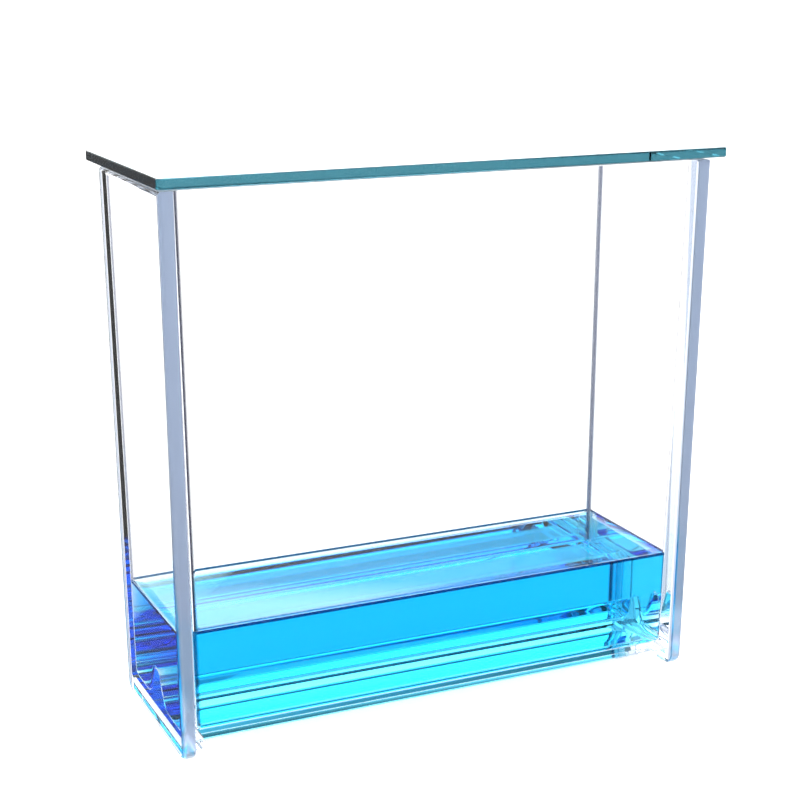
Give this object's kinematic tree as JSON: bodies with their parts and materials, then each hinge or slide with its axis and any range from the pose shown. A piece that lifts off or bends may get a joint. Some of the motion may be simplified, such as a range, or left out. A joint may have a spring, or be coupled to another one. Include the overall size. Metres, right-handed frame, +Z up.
{
  "type": "tlc developing chamber",
  "caption": "Pressed-glass twin-trough chamber with a ridged floor, end plates that form the feet, a loose glass plate lid and blue solvent in the troughs.",
  "frame": {"origin": "middle of the whole footprint, overhanging lid included, on the ground", "axes": "+X along the long walls towards the end where the lid overhangs, +Y from the front wall to the back wall, +Z up"},
  "size_m": [0.2362, 0.1004, 0.219],
  "materials": {
    "tank_glass": "fire-polished pressed glass, ground on the rim",
    "lid_glass": "float glass with a teal polished edge",
    "solvent": "clear blue liquid"
  },
  "bodies": {
    "root": {"tank": "tank_glass", "lid": "lid_glass", "solvent": "solvent"}
  },
  "joints": []
}
